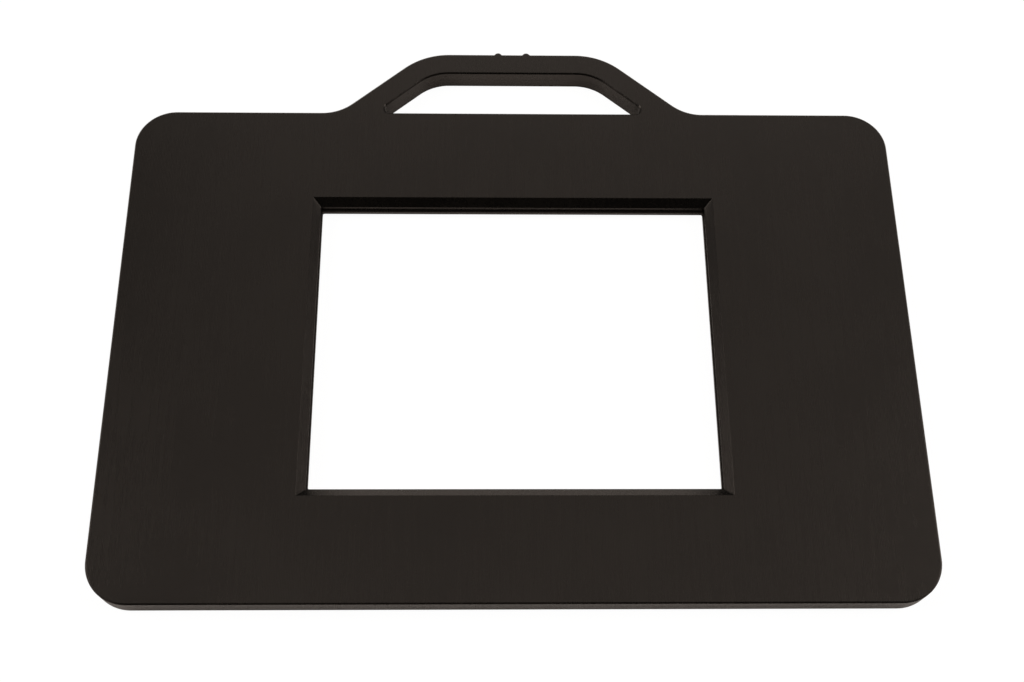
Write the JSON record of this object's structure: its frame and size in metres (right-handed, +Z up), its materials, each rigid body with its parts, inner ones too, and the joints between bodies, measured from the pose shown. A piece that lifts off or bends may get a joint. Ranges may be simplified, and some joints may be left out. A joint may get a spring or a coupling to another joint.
{
  "type": "negative carrier",
  "caption": "Flat two-part film holder for an enlarger: a black plate with a bevelled rectangular gate and a loop handle; magnets and dowel pins hold its halves together.",
  "frame": {"origin": "under the middle of the bounding box, on the plane that the carrier rests on", "axes": "+X along the plate's long side, +Y towards the handle, +Z up through the gate, along the enlarger's optical axis"},
  "size_m": [0.24, 0.1826, 0.0077],
  "materials": {
    "black_plastic": "satin near-black plastic with a fine, faint surface texture",
    "nickel_plate": "bright nickel plating on disc magnets, lightly scuffed",
    "ground_steel": "ground steel dowel pins with faint lengthwise marks"
  },
  "bodies": {
    "lower_half": {"lower_frame": "black_plastic", "lower_magnet_1": "nickel_plate", "lower_magnet_2": "nickel_plate", "lower_magnet_3": "nickel_plate", "lower_magnet_4": "nickel_plate", "lower_magnet_5": "nickel_plate", "lower_magnet_6": "nickel_plate", "lower_magnet_7": "nickel_plate", "lower_magnet_8": "nickel_plate", "dowel_pin_1": "ground_steel", "dowel_pin_2": "ground_steel", "dowel_pin_3": "ground_steel", "dowel_pin_4": "ground_steel"},
    "upper_half": {"upper_frame": "black_plastic", "upper_magnet_1": "nickel_plate", "upper_magnet_2": "nickel_plate", "upper_magnet_3": "nickel_plate", "upper_magnet_4": "nickel_plate", "upper_magnet_5": "nickel_plate", "upper_magnet_6": "nickel_plate", "upper_magnet_7": "nickel_plate", "upper_magnet_8": "nickel_plate"}
  },
  "joints": [
    {"name": "upper_lift", "type": "slide", "parent": "lower_half", "child": "upper_half", "axis": [0, 0, 1], "range_m": [0, 0.03]}
  ]
}
